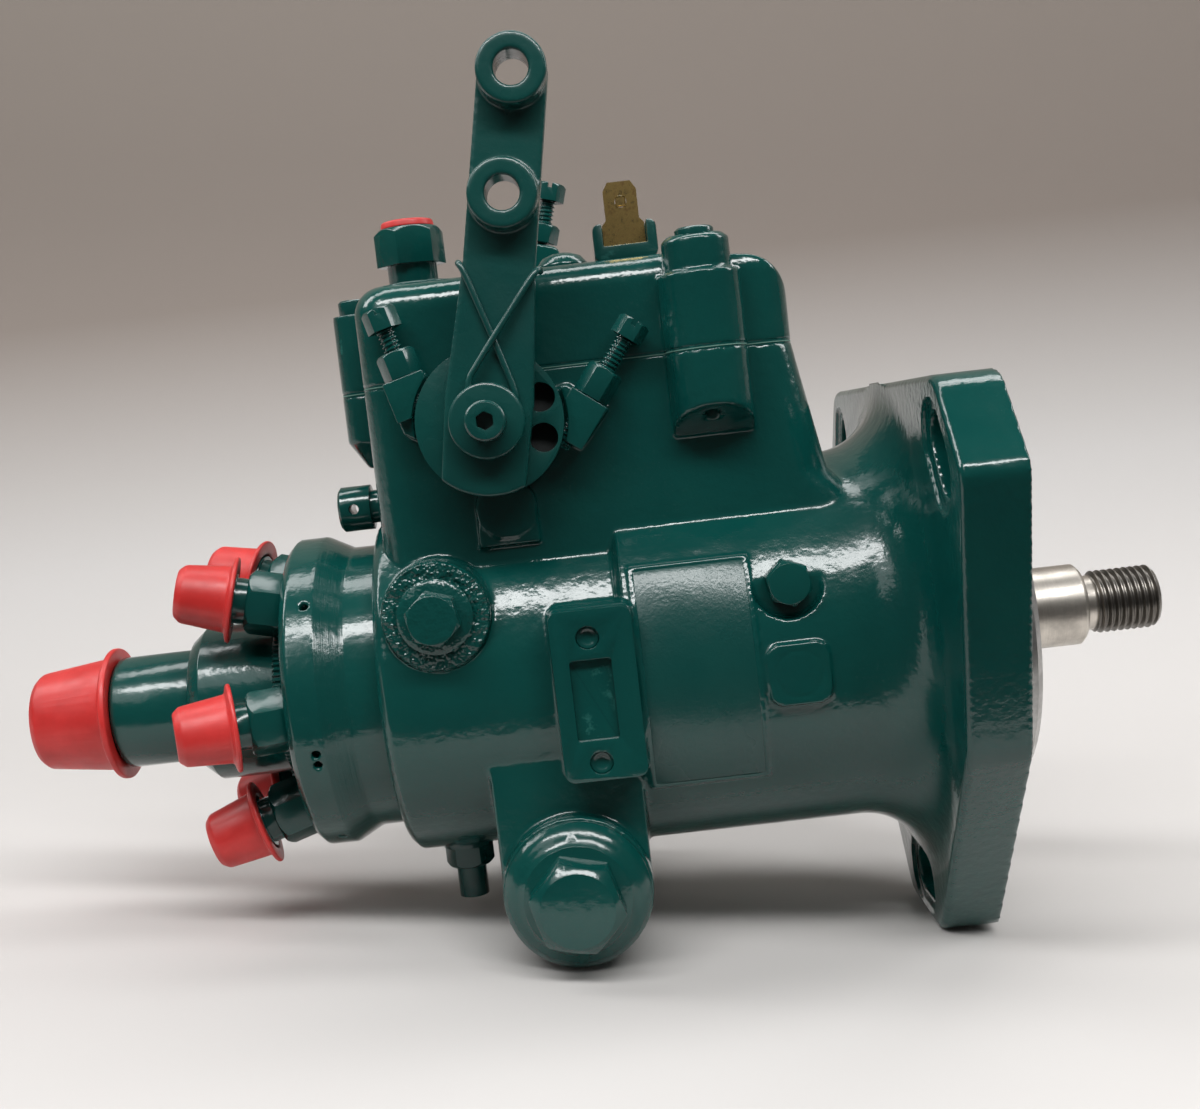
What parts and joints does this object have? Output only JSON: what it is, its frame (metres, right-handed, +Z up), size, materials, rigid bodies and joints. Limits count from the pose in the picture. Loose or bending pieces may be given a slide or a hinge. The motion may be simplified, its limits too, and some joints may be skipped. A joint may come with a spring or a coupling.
{
  "type": "rotary diesel injection pump",
  "caption": "Rotary distributor diesel injection pump with slotted mounting flange, splayed capped outlets, throttle lever and solenoid shut-off.",
  "frame": {"origin": "centre of the mounting flange's front face, on the drive shaft's axis", "axes": "+X out along the shaft's threaded end, +Z up towards the governor cover, the throttle lever on the -Y side"},
  "size_m": [0.2494, 0.145, 0.1924],
  "materials": {
    "casting_enamel": "glossy dark teal-green enamel over cast aluminium, slightly pebbled",
    "head_enamel": "glossy dark teal-green enamel over turned steel",
    "fastener_enamel": "glossy dark teal-green enamel over plated steel",
    "lever_enamel": "satin dark teal-green enamel over steel",
    "machined_aluminium": "fine turned aluminium",
    "ground_steel": "ground and turned steel",
    "pressed_steel": "pressed steel sheet",
    "bearing_bronze": "sintered bronze",
    "carbon_blades": "dark carbon",
    "seal_rubber": "matt black rubber",
    "gasket_sheet": "pale pressed gasket sheet",
    "red_plastic": "bright red soft plastic, satin",
    "terminal_insulation": "dark moulded plastic with overspray",
    "terminal_brass": "yellow brass sheet"
  },
  "bodies": {
    "body": {"advance_plugs": "head_enamel", "cover_gasket": "gasket_sheet", "cover_screws": "fastener_enamel", "governor_arm_pivot": "pressed_steel", "governor_cover": "casting_enamel", "ground_screw": "fastener_enamel", "head_locating_screw": "fastener_enamel", "head_lock_screws": "fastener_enamel", "head_o_ring": "seal_rubber", "housing_plugs": "fastener_enamel", "hydraulic_head": "head_enamel", "idle_stop_screw": "fastener_enamel", "inlet_fitting": "head_enamel", "max_speed_screw": "fastener_enamel", "name_plate": "casting_enamel", "outlet_fittings": "fastener_enamel", "pilot_tube": "machined_aluminium", "protective_caps": "red_plastic", "pump_housing": "casting_enamel", "rear_stop_screw": "fastener_enamel", "return_connector": "head_enamel", "return_plug": "red_plastic", "seal_snap_ring": "pressed_steel", "shaft_bushing": "bearing_bronze", "shaft_seals": "seal_rubber", "shutoff_solenoid": "terminal_insulation", "shutoff_terminal": "terminal_brass", "stop_screw_nuts": "fastener_enamel", "terminal_insulator": "terminal_insulation", "timing_window_cover": "casting_enamel", "transfer_pump_cap": "head_enamel", "transfer_pump_liner": "ground_steel", "window_screws": "fastener_enamel"},
    "drive_train": {"drive_shaft": "ground_steel", "weight_cage": "pressed_steel", "distributor_rotor": "ground_steel", "plungers": "ground_steel", "roller_shoes": "ground_steel", "cam_rollers": "ground_steel", "transfer_blades": "carbon_blades"},
    "thrust_sleeve": {"thrust_sleeve": "ground_steel"},
    "governor_arm": {"governor_arm": "pressed_steel"},
    "linkage": {"linkage_hook": "pressed_steel"},
    "metering_valve": {"metering_valve": "ground_steel"},
    "advance_piston": {"advance_piston": "ground_steel"},
    "cam_ring": {"cam_ring": "ground_steel", "advance_pin": "ground_steel"},
    "throttle": {"throttle_shaft": "lever_enamel", "hub_washer": "lever_enamel", "hub_screw": "lever_enamel"},
    "lever": {"throttle_lever": "lever_enamel", "lever_spring": "lever_enamel"},
    "shutoff_armature": {"shutoff_armature": "pressed_steel"},
    "regulator_piston": {"regulator_piston": "ground_steel"},
    "weight_1": {"governor_weight_1": "pressed_steel"},
    "weight_2": {"governor_weight_2": "pressed_steel"},
    "weight_3": {"governor_weight_3": "pressed_steel"},
    "weight_4": {"governor_weight_4": "pressed_steel"},
    "weight_5": {"governor_weight_5": "pressed_steel"},
    "weight_6": {"governor_weight_6": "pressed_steel"}
  },
  "joints": [
    {"name": "drive_spin", "type": "hinge", "parent": "body", "child": "drive_train", "pos_m": [0, 0, 0], "axis": [1, 0, 0], "continuous": true},
    {"name": "sleeve_slide", "type": "slide", "parent": "drive_train", "child": "thrust_sleeve", "axis": [1, 0, 0], "range_m": [0, 0.0028]},
    {"name": "weight_1_pivot", "type": "hinge", "parent": "drive_train", "child": "weight_1", "pos_m": [-0.064, 0, 0.02], "axis": [0, -1, 0], "range_deg": [0, 18]},
    {"name": "weight_2_pivot", "type": "hinge", "parent": "drive_train", "child": "weight_2", "pos_m": [-0.064, 0.01732, 0.01], "axis": [0, -0.5, 0.866], "range_deg": [0, 18]},
    {"name": "weight_3_pivot", "type": "hinge", "parent": "drive_train", "child": "weight_3", "pos_m": [-0.064, 0.01732, -0.01], "axis": [0, 0.5, 0.866], "range_deg": [0, 18]},
    {"name": "weight_4_pivot", "type": "hinge", "parent": "drive_train", "child": "weight_4", "pos_m": [-0.064, 0, -0.02], "axis": [0, 1, 0], "range_deg": [0, 18]},
    {"name": "weight_5_pivot", "type": "hinge", "parent": "drive_train", "child": "weight_5", "pos_m": [-0.064, -0.01732, -0.01], "axis": [0, 0.5, -0.866], "range_deg": [0, 18]},
    {"name": "weight_6_pivot", "type": "hinge", "parent": "drive_train", "child": "weight_6", "pos_m": [-0.064, -0.01732, 0.01], "axis": [0, -0.5, -0.866], "range_deg": [0, 18]},
    {"name": "governor_arm_pivot", "type": "hinge", "parent": "body", "child": "governor_arm", "pos_m": [-0.0416, 0, 0.033], "axis": [0, -1, 0], "range_deg": [0, 5.2]},
    {"name": "linkage_slide", "type": "slide", "parent": "body", "child": "linkage", "axis": [-1, 0, 0], "range_m": [0, 0.0011]},
    {"name": "metering_valve_turn", "type": "hinge", "parent": "body", "child": "metering_valve", "pos_m": [-0.107, 0, 0.03], "axis": [0, 0, 1], "range_deg": [0, 7]},
    {"name": "advance_slide", "type": "slide", "parent": "body", "child": "advance_piston", "axis": [0, 1, 0], "range_m": [-0.004, 0.004]},
    {"name": "cam_ring_turn", "type": "hinge", "parent": "body", "child": "cam_ring", "pos_m": [-0.0886, 0, 0], "axis": [1, 0, 0], "range_deg": [-5.7, 5.7]},
    {"name": "throttle_turn", "type": "hinge", "parent": "body", "child": "throttle", "pos_m": [-0.0951, -0.031, 0.0547], "axis": [0, 1, 0], "range_deg": [-20, 14]},
    {"name": "lever_breakaway", "type": "hinge", "parent": "throttle", "child": "lever", "pos_m": [-0.0951, -0.039, 0.0547], "axis": [0, 1, 0], "range_deg": [-12, 12], "stiffness_Nm_per_rad": 1.5},
    {"name": "shutoff_armature_tilt", "type": "hinge", "parent": "body", "child": "shutoff_armature", "pos_m": [-0.076, 0, 0.0632], "axis": [0, -1, 0], "range_deg": [0, 5]},
    {"name": "regulator_slide", "type": "slide", "parent": "body", "child": "regulator_piston", "axis": [-1, 0, 0], "range_m": [0, 0.0025], "stiffness_N_per_m": 400}
  ],
  "couplings": [
    {"joint": "weight_1_pivot", "follows": "sleeve_slide", "rad_per_m": 108.7},
    {"joint": "weight_2_pivot", "follows": "sleeve_slide", "rad_per_m": 108.7},
    {"joint": "weight_3_pivot", "follows": "sleeve_slide", "rad_per_m": 108.7},
    {"joint": "weight_4_pivot", "follows": "sleeve_slide", "rad_per_m": 108.7},
    {"joint": "weight_5_pivot", "follows": "sleeve_slide", "rad_per_m": 108.7},
    {"joint": "weight_6_pivot", "follows": "sleeve_slide", "rad_per_m": 108.7},
    {"joint": "governor_arm_pivot", "follows": "sleeve_slide", "rad_per_m": 31.447},
    {"joint": "linkage_slide", "follows": "sleeve_slide", "ratio": 0.37736},
    {"joint": "metering_valve_turn", "follows": "sleeve_slide", "rad_per_m": 41.929},
    {"joint": "cam_ring_turn", "follows": "advance_slide", "rad_per_m": 24.39}
  ]
}
